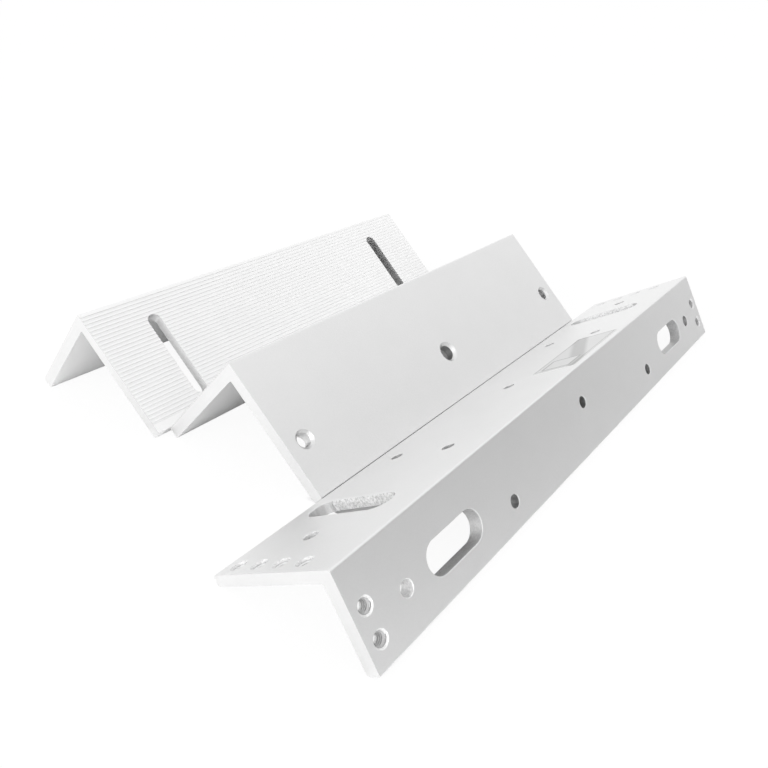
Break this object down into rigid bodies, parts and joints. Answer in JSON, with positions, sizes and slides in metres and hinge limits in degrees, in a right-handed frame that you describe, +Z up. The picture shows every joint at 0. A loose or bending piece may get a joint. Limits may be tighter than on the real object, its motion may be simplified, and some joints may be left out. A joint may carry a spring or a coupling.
{
  "type": "electromagnetic lock bracket",
  "caption": "Electromagnetic lock bracket of loose extruded aluminium angles: a drilled, slotted L for the magnet and ribbed angles that bolt into an adjustable Z.",
  "frame": {"origin": "middle of the set's box, on the surface that it stands on", "axes": "+X along the angles, +Y from the magnet angle to the door angle, +Z up"},
  "size_m": [0.25, 0.1996, 0.0387],
  "materials": {
    "magnet_angle_metal": "satin silver anodised, fine matt grain",
    "armature_angle_metal": "satin silver anodised, fine matt grain",
    "door_angle_metal": "satin silver anodised, ribbed by the extrusion die",
    "blank_label": "satin film label, blank"
  },
  "bodies": {
    "root": {"magnet_angle": "magnet_angle_metal", "armature_angle": "armature_angle_metal", "door_angle": "door_angle_metal"}
  },
  "joints": []
}
